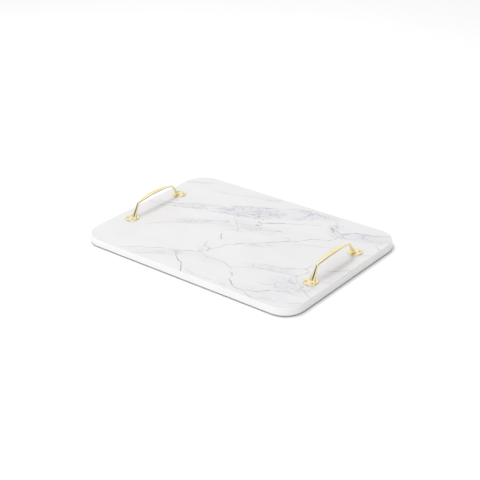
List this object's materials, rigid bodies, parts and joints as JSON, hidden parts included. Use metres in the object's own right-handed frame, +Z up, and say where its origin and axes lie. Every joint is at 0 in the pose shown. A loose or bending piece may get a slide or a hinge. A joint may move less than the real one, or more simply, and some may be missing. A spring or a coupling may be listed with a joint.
{
  "type": "vanity tray",
  "caption": "Flat round-cornered board with a marble-look top, plain white edging and low bow handles at its ends, for standing perfume bottles and toiletries on a dresser.",
  "frame": {"origin": "centre of the footprint, on the surface that the pads stand on", "axes": "+X along the board's long side, +Y across it, +Z up"},
  "size_m": [0.4, 0.28, 0.0418],
  "materials": {
    "marble_print": "satin print with grey-lavender veins",
    "white_edging": "smooth satin",
    "board_core": "raw fibreboard",
    "brown_backing": "brown balancing laminate",
    "polished_brass": "polished",
    "screw_brass": "plated",
    "pad_rubber": "matt"
  },
  "bodies": {
    "root": {"core_board": "board_core", "edge_strip": "white_edging", "marble_top_sheet": "marble_print", "backing_sheet": "brown_backing", "left_handle": "polished_brass", "right_handle": "polished_brass", "left_handle_screw_1": "screw_brass", "left_handle_screw_2": "screw_brass", "left_handle_screw_3": "screw_brass", "left_handle_screw_4": "screw_brass", "right_handle_screw_1": "screw_brass", "right_handle_screw_2": "screw_brass", "right_handle_screw_3": "screw_brass", "right_handle_screw_4": "screw_brass", "front_left_pad": "pad_rubber", "front_right_pad": "pad_rubber", "back_left_pad": "pad_rubber", "back_right_pad": "pad_rubber"}
  },
  "joints": []
}
